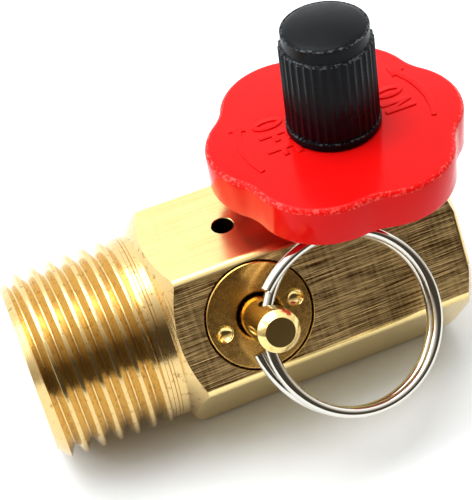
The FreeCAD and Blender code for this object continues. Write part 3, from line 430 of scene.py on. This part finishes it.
def moulded(name, colour, roughness, rim_highlight=None, rims=(), **sockets):
    """Injection-moulded plastic: an even skin with a faint grain and handling scuffs. Its
    rims, each given as its lowest and highest height in millimetres, get pale speckles
    painted in as a highlight along them, with small nick bumps."""
    scrape_relief = 3.0
    made, tree, shader = material(name, colour, 0.0, roughness, **sockets)
    place = add(tree, "ShaderNodeTexCoord").outputs["Object"]
    skin = add(tree, "ShaderNodeTexNoise", {
        "Vector": place, "Scale": MOULD_GRAIN, "Detail": 3.0}).outputs[0]
    scuff = add(tree, "ShaderNodeTexNoise", {
        "Vector": place, "Scale": SCUFFS, "Detail": 5.0, "Roughness": 0.65}).outputs[0]
    rough = add(tree, "ShaderNodeMapRange", {
        "Value": scuff, "From Min": 0.35, "From Max": 0.7,
        "To Min": roughness * 0.8, "To Max": roughness * 1.5}).outputs[0]
    tree.links.new(rough, shader.inputs["Roughness"])
    if rims:
        upright = add(tree, "ShaderNodeSeparateXYZ", {"Vector": place}).outputs[2]
        nicks = add(tree, "ShaderNodeTexNoise", {
            "Vector": place, "Scale": RIM_NICK_AND_HIGHLIGHT_SPECKS, "Detail": 4.0}).outputs[0]
        on_rim = 0.0
        for low, high in rims:
            near = add(tree, "ShaderNodeMath", {
                0: upright, 1: (low + high) / 2 * MM, 2: (high - low) / 2 * MM},
                operation="COMPARE").outputs[0]
            on_rim = add(tree, "ShaderNodeMath", {0: near, 1: on_rim}, operation="ADD").outputs[0]
        spots = add(tree, "ShaderNodeMapRange", {
            "Value": nicks, "From Min": 0.5, "From Max": 0.62}).outputs[0]
        # speckled rim bands: the pale colour there is a painted highlight, and the bumps are nicks
        highlight_and_nicks = add(tree, "ShaderNodeMath", {
            0: on_rim, 1: spots}, operation="MULTIPLY").outputs[0]
        tone = add(tree, "ShaderNodeMix", {
            0: highlight_and_nicks, 6: linear(colour), 7: linear(rim_highlight)}, data_type="RGBA").outputs[2]
        tree.links.new(tone, shader.inputs["Base Color"])
        skin = add(tree, "ShaderNodeMath", {
            0: highlight_and_nicks, 1: scrape_relief, 2: skin}, operation="MULTIPLY_ADD").outputs[0]
    bump = add(tree, "ShaderNodeBump", {
        "Height": skin, "Strength": 0.12, "Distance": 0.03 * MM}).outputs[0]
    tree.links.new(bump, shader.inputs["Normal"])
    return made


def drawn_wire(name, colour, roughness):
    """Drawn wire: bright metal with small dull spots."""
    made, tree, shader = material(name, colour, 1.0, roughness)
    place = add(tree, "ShaderNodeTexCoord").outputs["Object"]
    spots = add(tree, "ShaderNodeTexNoise", {
        "Vector": place, "Scale": WIRE_SPOTS, "Detail": 3.0}).outputs[0]
    rough = add(tree, "ShaderNodeMapRange", {
        "Value": spots, "From Min": 0.3, "From Max": 0.75,
        "To Min": roughness * 0.6, "To Max": roughness * 2.2}).outputs[0]
    tree.links.new(rough, shader.inputs["Roughness"])
    return made


# the bar
def hexagonal_bar():
    """The bar's hexagon with eased corners, its ends turned to chamfers and to the neck,
    which has fine tool rings and slopes down to the thread's root."""
    bpy.ops.object.select_all(action="DESELECT")
    length = BAR_END - NECK_START
    bpy.ops.mesh.primitive_cylinder_add(vertices=6, radius=FLATS / math.sqrt(3) * MM,
                                        depth=length * MM)
    bar = bpy.context.object
    bar.name = "hexagonal_bar"
    bar.data.transform(Matrix.Translation(mm((NECK_START + BAR_END) / 2, 0, 0)) @ BAR_AXIS)
    ease_edges(bar, lambda a, b: abs(a.x - b.x) > MM, CORNER * math.tan(math.pi / 6), 6)
    reach = FLATS * 0.7
    past = 0.5
    land = 0.3
    shoulder = BAR_START + 0.4
    limit = turned("chamfer_limit", [
        (0, NECK_START), (9.3, NECK_START), (10.36, 4.8), (10.4, 5.2), (NECK_RADIUS, 5.25),
        (NECK_RADIUS, 5.6), (10.41, 5.65), (NECK_RADIUS, 5.7), (NECK_RADIUS, 5.95),
        (10.43, 6.0), (NECK_RADIUS, 6.05), (NECK_RADIUS, shoulder),
        (reach, shoulder + (reach - NECK_RADIUS) * CONE_SLOPE),
        (reach, BAR_END + past - (reach - FLATS / 2 + land) * CONE_SLOPE),
        (FLATS / 2 - land - past / CONE_SLOPE, BAR_END + past), (0, BAR_END + past)],
        steps=256, place=BAR_AXIS)
    return boolean(bar, limit, "INTERSECT")


def manifold_bar():
    """The whole brass bar: hexagon, neck, threaded shank, bores, ports and pockets."""
    bar = hexagonal_bar()
    clear = THREAD_RADIUS + 0.5
    lead_end = THREAD_START + (clear - LEAD_RADIUS) / LEAD_SLOPE
    shank = helix_rod("shank", THREAD_RADIUS, THREAD_PITCH, THREAD_DEPTH, [
        (0, THREAD_START), (LEAD_RADIUS, THREAD_START), (clear, lead_end), (clear, 4.5),
        (10.2, 5.0), (0, 5.0)], steps=128, phase=THREAD_PHASE, taper_end=THREAD_TAPER_END)
    shank.data.transform(BAR_AXIS)
    boolean(bar, shank, "UNION")
    inlet = turned("inlet", [
        (0, -9), (6.1, -9), (4.9, -7.9), (4.5, -7.4), (4.5, 6), (0, 8.2)], place=BAR_AXIS)
    boolean(bar, inlet)
    bpy.ops.object.select_all(action="DESELECT")
    bpy.ops.mesh.primitive_cylinder_add(vertices=48, radius=2.25 * MM, depth=26.9 * MM,
                                        location=mm(18.45, 0, -2.25), rotation=(0, math.pi / 2, 0))
    boolean(bar, bpy.context.object)
    for name, place, steps, points in (
            ("outlet", BAR_AXIS, 128, [
                (0, 41), (7.1, 41), (6.36, 40.3), (5.56, 39.5), (5.56, 34.7), (2.5, 34.7),
                (2.5, 33.6), (0, 33.6)]),
            ("chamber", KNOB_AXIS, 128, [
                (0, 12), (6.9, 12), (5.5, 10.7), (5.5, 6.2), (4, 6.2), (4, 0.6), (2.9, 0.6),
                (2.7, 1.2), (2, 1.2), (2, -2.2), (0, -2.2)]),
            ("relief_pocket", RELIEF_AXIS, 160, [
                (0, 12), (6.9, 12), (6.04, 11.13), (5.95, 11.02), (5.93, 6.1), (5.2, 6.1),
                (5.2, 3.5), (2.5, 3.5), (2.2, 4.3), (1.2, 4.3), (1.2, -1.5), (0, -1.5)]),
            ("gauge_port", GAUGE_AXIS, 128, [
                (0, 12), (5.9, 12), (4.95, 11.1), (4.5, 10.6), (4.5, 4.2), (1.5, 3.3),
                (1.5, -1.5), (0, -1.5)]),
            ("vent", VENT_AXIS, 48, [
                (0, 12), (1.3, 12), (1.3, 11.14), (1.2, 11.02), (1.2, 5.6), (0, 5.6)])):
        boolean(bar, turned(name, points, steps, place))
    bar.name = "manifold_bar"
    return smooth(bar, 24)


def bar_faces(bar, flats, milled, turnings, bores):
    """The flats keep the drawn finish, coarser where a valve or port was milled in. All that
    was turned gets its own, and deep drilled holes are painted near black, as painted shade."""
    flat_reach = 10.9
    bore_reach = 10.6
    bar.data.materials.clear()
    for finish in (flats, milled, turnings, bores):
        bar.data.materials.append(finish)
    for polygon in bar.data.polygons:
        middle = polygon.center / MM
        reach = math.hypot(middle.y, middle.z)
        between_ends = BAR_START < middle.x < BAR_END
        on_flat = abs(polygon.normal.x) < 0.05 and between_ends and reach > flat_reach
        on_side = abs(polygon.normal.y) > 0.8 and polygon.normal.z > 0.45
        # faces deep in the bores take the near-black finish, which is painted shade
        deep = BAR_START + 0.5 < middle.x < BAR_END - 0.8 and reach < bore_reach
        polygon.material_index = 3 if deep else 2 if not on_flat else 1 if on_side else 0
    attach(bar, "manifold")
    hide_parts("body")


# the knob
def lobe_reach(angle, inset=0.0):
    """The knob's outline: broad lobes joined by small hollows, as a radius. Both are arcs,
    and they meet at the angle touch from a hollow's middle."""
    step = TURN / LOBES
    lobe = LOBE_RADIUS - inset
    notch = NOTCH_RADIUS + inset
    along = LOBE_CENTRE * math.cos(step / 2)
    side = LOBE_CENTRE * math.sin(step / 2)
    hollow = along + math.sqrt((lobe + notch) ** 2 - side ** 2)
    touch_side = side * notch / (lobe + notch)
    touch = math.atan2(touch_side, hollow - (hollow - along) * notch / (lobe + notch))
    offset = (angle + step / 2) % step - step / 2
    gap = step / 2 - abs(offset)
    if gap < touch:
        half_chord = math.sqrt(max(0.0, notch ** 2 - (hollow * math.sin(gap)) ** 2))
        return hollow * math.cos(gap) - half_chord
    half_chord = math.sqrt(lobe ** 2 - (LOBE_CENTRE * math.sin(offset)) ** 2)
    return LOBE_CENTRE * math.cos(offset) + half_chord


def lobed_block(name, low, high, inset=0.0):
    """A solid with the knob's outline between two heights."""
    bpy.ops.object.select_all(action="DESELECT")
    bpy.ops.mesh.primitive_cylinder_add(vertices=240, radius=MM, depth=(high - low) * MM,
                                        location=(0, 0, (high + low) / 2 * MM))
    block = bpy.context.object
    block.name = name
    bpy.ops.object.transform_apply(location=True, rotation=True, scale=True)
    for vertex in block.data.vertices:
        angle = math.atan2(vertex.co.y, vertex.co.x)
        reach = lobe_reach(angle, inset) * MM
        vertex.co.x = reach * math.cos(angle)
        vertex.co.y = reach * math.sin(angle)
    return block


def lobed_knob():
    """The knob: rounded rim, hollow underside with a boss and ribs, drive hole."""
    plate = 1.9
    rib_middle = mm(8.9, 0, 16.1)
    rib_size = (8.2, 1.2, 2.2, 1)
    knob = lobed_block("lobed_knob", KNOB_LOW, KNOB_TOP)
    for height, width, segments in ((KNOB_TOP, 0.62, 6), (KNOB_LOW, 0.24, 3)):
        level = height * MM
        ease_edges(knob, lambda a, b: abs(a.z - level) + abs(b.z - level) < MERGED, width, segments)
    hollow = lobed_block("hollow", KNOB_LOW - 1, KNOB_TOP - plate, inset=KNOB_WALL)
    boolean(knob, hollow)
    boss = turned("boss", [(0, 14.5), (5, 14.5), (5, 17.3), (0, 17.3)], steps=96)
    boolean(knob, boss, "UNION")
    for k in range(LOBES):
        bpy.ops.object.select_all(action="DESELECT")
        bpy.ops.mesh.primitive_cube_add(size=MM)
        rib = bpy.context.object
        spoke = Matrix.Rotation(k * TURN / LOBES, 4, "Z")
        rib.data.transform(spoke @ Matrix.Translation(rib_middle) @ Matrix.Diagonal(rib_size))
        boolean(knob, rib, "UNION")
    hole = turned("drive_hole", [
        (0, 13), (3.27, 13), (3.27, 18.4), (4.8, 18.4), (4.8, 19.5), (0, 19.5)], steps=96)
    boolean(knob, hole)
    knob.data.transform(KNOB_AXIS @ Matrix.Rotation(KNOB_SPIN, 4, "Z"))
    return smooth(knob, 30)


def embossed(name, outlines):
    """A flat raised shape on the knob's top face, from closed outlines in millimetres about
    the knob's axis. An outline inside another one leaves a hole."""
    height = 0.14
    edge = 0.05
    curve = bpy.data.curves.new(name, "CURVE")
    curve.dimensions = "2D"
    curve.fill_mode = "BOTH"
    curve.extrude = (height - edge) * MM
    curve.bevel_depth = edge * MM
    curve.bevel_resolution = 2
    for outline in outlines:
        spline = curve.splines.new("POLY")
        spline.points.add(len(outline) - 1)
        for point, spot in zip(spline.points, outline):
            point.co = (spot[0] * MM, spot[1] * MM, 0, 1)
        spline.use_cyclic_u = True
    obj = meshed(name, curve)
    obj.data.transform(KNOB_AXIS @ Matrix.Translation(mm(0, 0, KNOB_TOP)))
    close_up(obj)
    return smooth(obj, 40)


def curved_arrow(radius, tail, head):
    """An arrow bent round the knob's axis, between two angles in degrees: a band that widens
    from its tail to a barbed head."""
    count = 30
    thin = 0.22
    widening = 0.2
    barb = 0.85
    tip_degrees = 8
    way = 1 if head > tail else -1
    inner = []
    outer = []
    for i in range(count + 1):
        angle = math.radians(tail + (head - tail) * i / count)
        half = thin + widening * i / count
        inner.append(((radius - half) * math.cos(angle), (radius - half) * math.sin(angle)))
        outer.append(((radius + half) * math.cos(angle), (radius + half) * math.sin(angle)))
    end = math.radians(head)
    tip = math.radians(head + way * tip_degrees)
    barbs = [((radius + reach) * math.cos(angle), (radius + reach) * math.sin(angle))
             for reach, angle in ((-barb, end), (0, tip), (barb, end))]
    return [inner + barbs + outer[::-1]]


def letters(text, foot, start):
    """Plain block letters as outlines. They read towards -Y, with their feet at X = foot."""
    tall = 3.3
    wide = 1.75
    gap = 0.75
    stroke = 0.5
    arm = wide * 0.85
    bar = tall / 2 - stroke / 2
    sides = 32
    ring = [(math.cos(TURN * k / sides), math.sin(TURN * k / sides)) for k in range(sides)]
    shapes = {
        "O": [[(wide / 2 * (1 + c), tall / 2 * (1 + s)) for c, s in ring],
              [(wide / 2 + (wide / 2 - stroke) * c, tall / 2 + (tall / 2 - stroke) * s)
               for c, s in ring]],
        "N": [[(0, 0), (stroke, 0), (stroke, tall - 2 * stroke), (wide - stroke, 0), (wide, 0),
               (wide, tall), (wide - stroke, tall), (wide - stroke, 2 * stroke),
               (stroke, tall), (0, tall)]],
        "F": [[(0, 0), (stroke, 0), (stroke, bar), (arm, bar), (arm, bar + stroke),
               (stroke, bar + stroke), (stroke, tall - stroke), (wide, tall - stroke),
               (wide, tall), (0, tall)]],
    }
    outlines = []
    for place, letter in enumerate(text):
        side = start - place * (wide + gap)
        outlines.extend([[(foot + v, side - u) for u, v in outline] for outline in shapes[letter]])
    return outlines


# cap, stem, screw, ring
def ribbed_cap():
    """The valve cap: plain base band, fine upright ribs, a neck and a domed end."""
    rim = 31.07
    rise = 0.65
    reach = 4.45
    arcs = 10
    rib_low = 20.15
    rib_high = 29.48
    rib_reach = 4.7
    bend = (reach ** 2 + rise ** 2) / (2 * rise)
    sweep = math.asin((reach - 0.3) / bend)
    foot = rim + rise - bend
    dome = [(bend * math.sin(sweep * k / arcs), foot + bend * math.cos(sweep * k / arcs))
            for k in range(arcs, -1, -1)]
    side = [(3.92, 19.04), (4.9, 19.04), (5.03, 19.17), (5.03, 19.93), (4.99, 20.0),
            (4.86, 20.02), (4.84, 20.1), (4.93, 20.16), (4.93, 20.3), (4.85, 29.3), (4.8, 29.44),
            (4.6, 29.5), (4.47, 29.56), (4.45, 29.7), (4.45, 30.86), (4.49, 30.92),
            (4.49, 31.03), (4.44, 31.09), (4.36, 31.1), (4.26, 31.06)]
    inside = [(0, 30.0), (3.92, 30.0)]
    cap = turned("ribbed_cap", side + dome + inside, steps=RIBS * 8)
    for vertex in cap.data.vertices:
        radius = math.hypot(vertex.co.x, vertex.co.y) / MM
        height = vertex.co.z / MM
        if radius > rib_reach and rib_low < height < rib_high:
            angle = math.atan2(vertex.co.y, vertex.co.x)
            wave = 0.5 + 0.5 * math.cos(angle * RIBS)
            shrink = 1 - RIB_DEPTH * (1 - wave ** 2) / radius
            vertex.co.x *= shrink
            vertex.co.y *= shrink
    cap.data.transform(KNOB_AXIS)
    return smooth(cap, 40)


def relief_stem():
    """The pull stem: broad chamfer on its end and a cross hole for the ring."""
    spin = math.radians(-20)
    stem = turned("relief_pull_stem", [
        (0, 5.9), (1.1, 5.9), (1.1, 7.2), (1.35, 7.2), (1.35, 7.8), (2.25, 8.7), (2.25, 18.3),
        (1.55, 19.0), (0, 19.0)], steps=96, edge=0.12)
    bpy.ops.object.select_all(action="DESELECT")
    bpy.ops.mesh.primitive_cylinder_add(vertices=64, radius=1.3 * MM, depth=12 * MM,
                                        location=mm(0, 0, 14.95), rotation=(math.pi / 2, 0, 0))
    boolean(stem, bpy.context.object)
    stem.data.transform(RELIEF_AXIS @ Matrix.Rotation(spin, 4, "Z"))
    return smooth(stem, 32)


def spanner_screw(face, drilled):
    """The relief valve's round screw, with two bright drilled spanner holes in its face."""
    hole_reach = 0.97
    hole_low = 10.0
    hole_high = 11.09
    screw = turned("spanner_screw", [
        (4.3, 6.3), (5.5, 6.3), (5.8, 6.6), (5.8, 10.84), (5.76, 11.0), (5.66, 11.08), (5.5, 11.1),
        (2.72, 11.1), (2.5, 10.9), (2.46, 9.7), (4.3, 9.7)], steps=160)
    for side in (0, math.pi):
        spot = Matrix.Rotation(side, 4, "Z") @ Matrix.Translation(mm(SPANNER_HOLE_X, 0, 0))
        hole = turned("spanner_hole", [
            (0, 11.4), (1.0, 11.4), (0.96, 11.1), (0.9, 11.04), (0.86, 10.9), (0, 10.1)],
            steps=40, place=spot)
        boolean(screw, hole)
    finished(screw, face, "manifold", "relief_screw", slot="turned_brass")
    screw.data.materials.append(drilled)
    for polygon in screw.data.polygons:
        middle = polygon.center / MM
        from_hole = math.hypot(abs(middle.x) - SPANNER_HOLE_X, middle.y)
        in_hole = from_hole < hole_reach and hole_low < middle.z < hole_high
        polygon.material_index = 1 if in_hole else 0
    screw.data.transform(RELIEF_AXIS @ Matrix.Rotation(SCREW_SPIN, 4, "Z"))
    smooth(screw, 30)


def ring_frame():
    """The pull ring's own frame: X to its middle from the stem, Z across it. The ring leans
    a little out of the front flat's plane."""
    stand_off = 3.29
    along = Vector((1, 0, 0))
    out = RELIEF_AXIS.to_3x3() @ Vector((0, 0, 1))
    up = RELIEF_AXIS.to_3x3() @ Vector((0, 1, 0))
    normal = (out + along * 0.126 + up * 0.178).normalized()
    offset = along * 8.51 - up * 3.12
    middle = mm(RELIEF_X, 0, 0) + (offset + out * (FLATS / 2 + stand_off)) * MM
    arm = (offset - normal * offset.dot(normal)).normalized()
    side = normal.cross(arm)
    place = Matrix((arm, side, normal)).transposed().to_4x4()
    place.translation = middle
    return place


def wire_ring():
    """Two turns of round wire, side by side, whose ends stand off a little."""
    radius = 9.45
    wire = 0.6
    pitch = 1.26
    stand_off = 0.9
    gap = math.radians(18)
    first = math.pi + gap
    last = 5 * math.pi - gap
    count = 240
    curve = bpy.data.curves.new("split_ring", "CURVE")
    curve.dimensions = "3D"
    curve.bevel_depth = wire * MM
    curve.bevel_resolution = 6
    curve.use_fill_caps = True
    spline = curve.splines.new("POLY")
    spline.points.add(count)
    for i, point in enumerate(spline.points):
        angle = first + (last - first) * i / count
        near = min(angle - first, last - angle)
        reach = radius + stand_off * max(0.0, 1.0 - near) ** 2
        lift = pitch * (angle - 3 * math.pi) / TURN
        point.co = (reach * math.cos(angle) * MM, reach * math.sin(angle) * MM, lift * MM, 1)
    obj = meshed("split_ring", curve)
    obj.data.transform(ring_frame())
    return smooth(obj, 40)


def tyre_stem():
    """The tyre valve stem: flange in the knob's recess and its real thread."""
    stem = turned("tyre_stem", [
        (1.2, 14.5), (2.0, 14.5), (2.2, 14.7), (2.2, 18.4), (4.7, 18.4), (4.7, 18.9), (4.6, 19.0),
        (3.5, 19.0), (3.5, 19.3), (2.9, 19.3), (2.0, 19.3), (2.0, 18.5), (1.2, 18.5)], steps=96)
    rod = helix_rod("stem_thread", 3.83, 0.794, 0.42, [
        (0, 19.2), (3.4, 19.2), (4.1, 19.9), (4.1, 28.65), (3.45, 29.3), (0, 29.3)], steps=72)
    bore = turned("stem_bore", [
        (0, 18), (2.0, 18), (2.0, 23.4), (2.6, 24.2), (2.6, 30), (0, 30)], steps=72)
    boolean(rod, bore)
    boolean(stem, rod, "UNION")
    stem.data.transform(KNOB_AXIS)
    return smooth(stem, 36)


# scene
def studio():
    """A pale floor, a large soft light above and behind, a smaller one at the left, and soft
    surroundings that darken and warm towards the front and below."""
    floor_gap = 0.1
    dark_tint = (1.0, 0.8, 0.58, 1.0)
    bright_tint = (0.965, 0.985, 1.0, 1.0)
    bpy.ops.object.select_all(action="DESELECT")
    bpy.ops.mesh.primitive_plane_add(size=1.6, location=(0.02, 0.1, cad_low[2] - floor_gap * MM))
    floor = bpy.context.object
    floor.name = "floor"
    paper = material("white_paper", "#F0F4F6", 0.0, 0.85)[0]
    floor.data.materials.append(paper)
    world = bpy.data.worlds.new("studio")
    bpy.context.scene.world = world
    world.use_nodes = True
    tree = world.node_tree
    direction = add(tree, "ShaderNodeTexCoord").outputs["Generated"]
    parts = add(tree, "ShaderNodeSeparateXYZ", {"Vector": direction}).outputs
    back = add(tree, "ShaderNodeMath", {
        0: parts[2], 1: 0.5, 2: parts[1]}, operation="MULTIPLY_ADD").outputs[0]
    shade = add(tree, "ShaderNodeMapRange", {
        "Value": back, "From Min": -0.45, "From Max": 0.45,
        "To Min": 0.075, "To Max": 1.55}).outputs[0]
    tint = add(tree, "ShaderNodeMix", {
        0: shade, 6: dark_tint, 7: bright_tint}, data_type="RGBA").outputs[2]
    background = tree.nodes["Background"]
    tree.links.new(shade, background.inputs["Strength"])
    tree.links.new(tint, background.inputs["Color"])
    target = mm(16, -2, 5)
    for name, place, size, power in (
            ("top_softbox", (-0.1, 0.12, 0.6), 0.5, 2.6),
            ("left_softbox", (-0.5, 0.1, 0.35), 0.36, 1.0)):
        lamp = bpy.data.lights.new(name, "AREA")
        lamp.shape = "SQUARE"
        lamp.size = size
        lamp.energy = power
        obj = new_object(name, lamp)
        obj.location = place
        aim = (target - Vector(place)).normalized()
        obj.rotation_euler = aim.to_track_quat("-Z", "Y").to_euler()
    bpy.context.scene.view_settings.view_transform = "Standard"


def camera():
    """The camera where the photograph was taken from, as fitted to the bar's edges, the
    knob's lobes, the relief screw and the thread's crests."""
    data = bpy.data.cameras.new("camera")
    data.sensor_width = 36.0
    data.lens = 95.8
    data.clip_start = 0.01
    obj = new_object("camera", data)
    right = Vector((0.92401, -0.35971, -0.12968))
    up = Vector((0.33799, 0.60976, 0.71690))
    ahead = Vector((0.17880, 0.70626, -0.68501))
    place = Matrix((right, up, -ahead)).transposed().to_4x4()
    place.translation = mm(-8.65, -102.88, 106.18)
    obj.matrix_world = place
    bpy.context.scene.camera = obj


brass_flats = drawn_brass("drawn_brass_flats", 0.04, "#E4C680", "#F2DC9C", 0.22, line_length=10)
brass_milled = drawn_brass("milled_brass_flats", 1.0, "#5A3C1E", "#DFBB7E", 0.36, line_length=5,
                           spread=0.3)
# the bar's turned faces, shank and thread: brass darker than the fittings' brass, as painted shade
# for the darker surroundings that they reflect
shank_brass_painted_shade = turned_brass("turned_brass_shank_painted_shade", BAR_AXIS, "#A8854E", "#DDBE82", relief=0.5)
# near-black brass for the deep bores: painted shade in the narrow holes
bore_painted_shade = turned_brass("drilled_brass_painted_shade", VENT_AXIS, "#1A1208", "#2E2010", roughness=0.6)
brass_fittings = turned_brass("turned_brass_fittings", KNOB_AXIS)
brass_relief = turned_brass("turned_brass_relief", RELIEF_AXIS, "#C08C48", "#E0AE5E",
                            roughness=0.24)
brass_stem = turned_brass("bright_turned_stem", RELIEF_AXIS, roughness=0.12)
# the knob's top rim gets a painted highlight in paler red
red_plastic = moulded("red_moulded_abs", "#E20E0D", 0.15, rim_highlight="#F8544A",
                      rims=((18.45, 18.97),), Specular_IOR_Level=0.1)
# the cap's base, neck and dome rims get a painted highlight in grey
black_plastic = moulded("black_moulded_nylon", "#04060A", 0.28, rim_highlight="#505458",
                        rims=((19.9, 20.03), (29.3, 29.55), (31.0, 31.12)),
                        Specular_IOR_Level=0.11)
nitrile = moulded("black_nitrile_rubber", "#151515", 0.6)
red_seal = moulded("red_ptfe_collar", "#9C1A14", 0.4)
nickel_wire = drawn_wire("nickel_plated_wire", "#D8D4CA", 0.06)
spring_wire = drawn_wire("spring_steel_wire", "#8D8C88", 0.22)

bar_faces(manifold_bar(), brass_flats, brass_milled, shank_brass_painted_shade, bore_painted_shade)
finished(lobed_knob(), red_plastic, "knob", "knob", slot="red_plastic")
for name, outlines in (
        ("off_arrow", curved_arrow(10.2, 201, 159)),
        ("on_arrow", curved_arrow(10.4, -24, 24)),
        ("off_word", letters("OFF", -7.95, 4.1)),
        ("on_word", letters("ON", 5.4, 2.55))):
    finished(embossed(name, outlines), red_plastic, "knob", slot="red_plastic")
finished(ribbed_cap(), black_plastic, "cap", "valve_cap", slot="black_plastic")
finished(relief_stem(), brass_stem, "stem", "relief_stem", slot="turned_brass")
spanner_screw(brass_relief, brass_stem)
finished(wire_ring(), nickel_wire, "ring", "pull_ring", slot="plated_wire")
finished(tyre_stem(), brass_fittings, "knob", "valve_stem", slot="turned_brass")

# the CAD pieces that stay, and their finishes
staying = {
    brass_fittings: ("bonnet", "spindle", "seat_disc", "core_barrel", "core_pin", "core_cup"),
    brass_relief: ("relief_poppet",),
    nitrile: ("bonnet_gasket", "gland_o_ring", "nose_o_ring", "seat_washer", "core_washer",
              "cap_seal", "relief_seal"),
    red_seal: ("core_collar",),
    spring_wire: ("disc_clip", "core_spring", "relief_spring"),
}
for finish, names in staying.items():
    for name in names:
        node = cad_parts[name]
        for slot in node.material_slots:
            slot.material = finish

studio()
camera()
